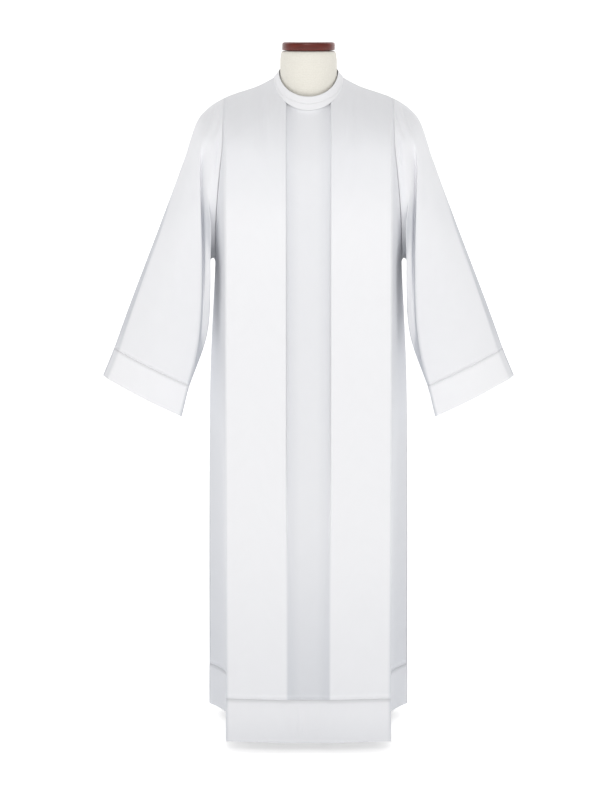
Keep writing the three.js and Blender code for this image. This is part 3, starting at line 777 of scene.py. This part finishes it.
for side, name, creases in ((-1, "front", FRONT_CREASES), (1, "back", BACK_CREASES)):
    grid = body_grid(side)
    corners = {(0, SIDE_HALF - NECK_CORNER), (0, SIDE_HALF + NECK_CORNER)}
    cage = cage_mesh(name, grid, body_crease, HEM_ROW, corners)
    surface = smoothed(name, cage)
    press(surface, creases, 1, lambda v: True)
    chains = stitched_line(surface)
    panel = wall_object(name + "_cloth", surface, 0, body_layers_and_painted_shade, "alb_cloth", [name])
    hem_name = "hem_" + name
    hem = wall_object(hem_name + "_cloth", surface, 1, hem_painted_shade, "alb_cloth", [hem_name])
    stitches = stitch_piece(hem_name + "_stitches", chains, STITCH_INSET, "alb_cloth")
    surface.free()


# %% Sleeves and cuffs
PRESSED, INNER = (0, 1), (4, 7)  # columns of the outer edge and its crease, and of the fold's edges


def sleeve_layers_and_painted_shade(v):
    """The flat face lies close on the back layer, and the turned strips at its edges hang alone;
    below the shoulder, cloth turned away from the front is drawn darker still, as painted shade.
    """
    flat = smooth(0.55, 0.9, abs(v.normal.y))
    low = smooth(1230, 1100, v.co.z / MM)
    return mix(0.8, mix(-0.7, 0.84, flat), low)


def cuff_painted_shade(v):
    # painted shade: cuff cloth turned away from the front is drawn darker
    return mix(-0.5, 1.0, smooth(0.55, 0.9, abs(v.normal.y)))


def sleeve_crease(column, row):
    if column in pressed_columns:
        return 0.95 if row > FIRST_STATION + 1 else 0.3
    return 1.0 if column in inner_columns and row > FIRST_STATION else 0.0


for arm, name in ((1, "right"), (-1, "left")):
    grid = sleeve_grid(arm)
    ring = len(grid[0]) - 1
    pressed_columns = {ring - 1 - k if arm > 0 else k for k in PRESSED}
    inner_columns = {ring - 1 - k if arm > 0 else k for k in INNER}
    lowest = min(p.z for p in grid[0])
    top_and_underarm = {
        (0, c) for c, p in enumerate(grid[0]) if p.y == NECK_Y or p.z == lowest
    }
    sleeve_name, cuff_name = "sleeve_" + name, "cuff_" + name
    cage = cage_mesh(sleeve_name, grid, sleeve_crease, CUFF_STATION, top_and_underarm)
    surface = smoothed(sleeve_name, cage)
    press(surface, SLEEVE_CREASES, arm, lambda v: v.normal.y < 0.25)
    chains = stitched_line(surface)
    sleeve = wall_object(sleeve_name + "_cloth", surface, 0, sleeve_layers_and_painted_shade, "alb_cloth",
                         [sleeve_name])
    cuff = wall_object(cuff_name + "_cloth", surface, 1, cuff_painted_shade, "alb_cloth", [cuff_name])
    stitches = stitch_piece(cuff_name + "_stitches", chains, STITCH_INSET, "alb_cloth")
    surface.free()

# %% Neckband and binding
NECK_ROWS = 2
NO_BAND = NECK_ROWS + 1  # no row of the grid is so far down, so that no face is marked as a band

for name, upper, lower in (
    ("neckband", band_ring, dividing_ring),
    ("neck_binding", dividing_ring, seam_ring),
):
    grid = neck_grid(upper, lower, NECK_ROWS)
    cage = cage_mesh(name, grid, lambda c, r: 0.0, NO_BAND)
    surface = smoothed(name, cage, 2)
    band = wall_object(name + "_cloth", surface, None, lambda v: 1.0, "alb_cloth", [name])
    surface.free()

# %% [markdown]
# ## The dress form and its stand
# The form's solid is a faceted shape. A merged copy with a subdivision surface gives the padded,
# smooth cover. The cap, pole, socket and foot are turned, so each is a profile spun round the pole.

# %% Form
form_bm = bmesh.new()
form_bm.from_mesh(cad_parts["form_body"].data)
bmesh.ops.remove_doubles(form_bm, verts=form_bm.verts, dist=SAME_POINT)
bmesh.ops.join_triangles(form_bm, faces=form_bm.faces, angle_face_threshold=math.pi,
                         angle_shape_threshold=math.pi)
form_mesh = bpy.data.meshes.new("form")
form_bm.to_mesh(form_mesh)
form_bm.free()
fine_form = smoothed("form", form_mesh, 2)
for f in fine_form.faces:
    f.smooth = True
    f.material_index = 0
form = new_object("form_cover", fine_form, form_cover)
attach(form, "form_cover", "form_body")


# %% Turned parts
TURNED_SEGMENTS, ROUND_SEGMENTS = 96, 5


def turned(name, node, material, slot, rounds):
    """A disc or rod over the node's own box, with rounded edges (low, high) in millimetres."""
    low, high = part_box(node)
    radius = (high.x - low.x) / 2
    middle = (high.z + low.z) / 2
    bm = bmesh.new()
    bmesh.ops.create_cone(bm, cap_ends=True, segments=TURNED_SEGMENTS, radius1=radius,
                          radius2=radius, depth=high.z - low.z)
    bmesh.ops.translate(bm, verts=bm.verts, vec=(0, 0, middle))
    for top, size in ((False, rounds[0]), (True, rounds[1])):
        ring = [
            e for e in bm.edges
            if all((v.co.z > middle) == top for v in e.verts)
            and abs(e.verts[0].co.z - e.verts[1].co.z) < SAME_POINT and len(e.link_faces) == 2
        ]
        bmesh.ops.bevel(bm, geom=ring, offset=size * MM, segments=ROUND_SEGMENTS, profile=0.5,
                        affect="EDGES", material=-1)
    for f in bm.faces:
        f.smooth = len(f.verts) <= 4
    attach(new_object(name, bm, material), slot, node)


turned("cap", "neck_cap", cap_wood, "cap_wood", (1, 5))
turned("pole_tube", "pole", pole_steel, "pole_steel", (0.8, 0.8))
turned("socket", "pole_socket", foot_iron, "foot_iron", (1, 6))
turned("foot_disc", "foot", foot_iron, "foot_iron", (1, 4))

# %% [markdown]
# ## Floor and light
# The robe stands on a wide white floor with a white backdrop far behind it. Both glow a little, so
# that they stay white under it. Two large soft lights above the camera, the stronger one near the
# middle, make the pressed panels bright and leave the cloth that turns away in a soft grey.

# %% Floor
FLOOR_HALF, FLOOR_DROP = 400, 0.0005  # metres; the drop keeps the floor clear of the foot
BACKDROP_HALF, BACKDROP_Y, BACKDROP_Z = 30, 14, 29

white_floor, _, floor_shader = new_material("white_floor", Roughness=0.9)
floor_shader.inputs["Base Color"].default_value = linear("#F6F6F6")
floor_shader.inputs["Emission Color"].default_value = (1, 1, 1, 1)
floor_shader.inputs["Emission Strength"].default_value = 0.52

bm = bmesh.new()
bmesh.ops.create_grid(bm, x_segments=1, y_segments=1, size=FLOOR_HALF)
floor = new_object("floor", bm, white_floor)
floor.location.z = -FLOOR_DROP

bm = bmesh.new()
bmesh.ops.create_grid(bm, x_segments=1, y_segments=1, size=BACKDROP_HALF)
bmesh.ops.rotate(bm, verts=bm.verts, matrix=Matrix.Rotation(math.radians(90), 3, "X"))
bmesh.ops.translate(bm, verts=bm.verts, vec=(0, BACKDROP_Y, BACKDROP_Z))
backdrop = new_object("backdrop", bm, white_floor)

# %% Light
world = bpy.data.worlds.new("studio")
world.use_nodes = True
world.node_tree.nodes["Background"].inputs["Color"].default_value = (1, 1, 1, 1)
world.node_tree.nodes["Background"].inputs["Strength"].default_value = 0.5
bpy.context.scene.world = world
LIGHT_AIM = Vector((0, 0, 0.8))


def soft_light(name, place, size, power):
    data = bpy.data.lights.new(name, "AREA")
    data.size = size
    data.energy = power
    light = bpy.data.objects.new(name, data)
    light.location = place
    light.rotation_euler = (LIGHT_AIM - Vector(place)).to_track_quat("-Z", "Y").to_euler()
    bpy.context.scene.collection.objects.link(light)


soft_light("key", (-0.3, -2.3, 2.9), 1.3, 16)
soft_light("fill", (1.6, -2.6, 2.9), 1.4, 4)
bpy.context.scene.view_settings.view_transform = "Standard"
print("lights 2")
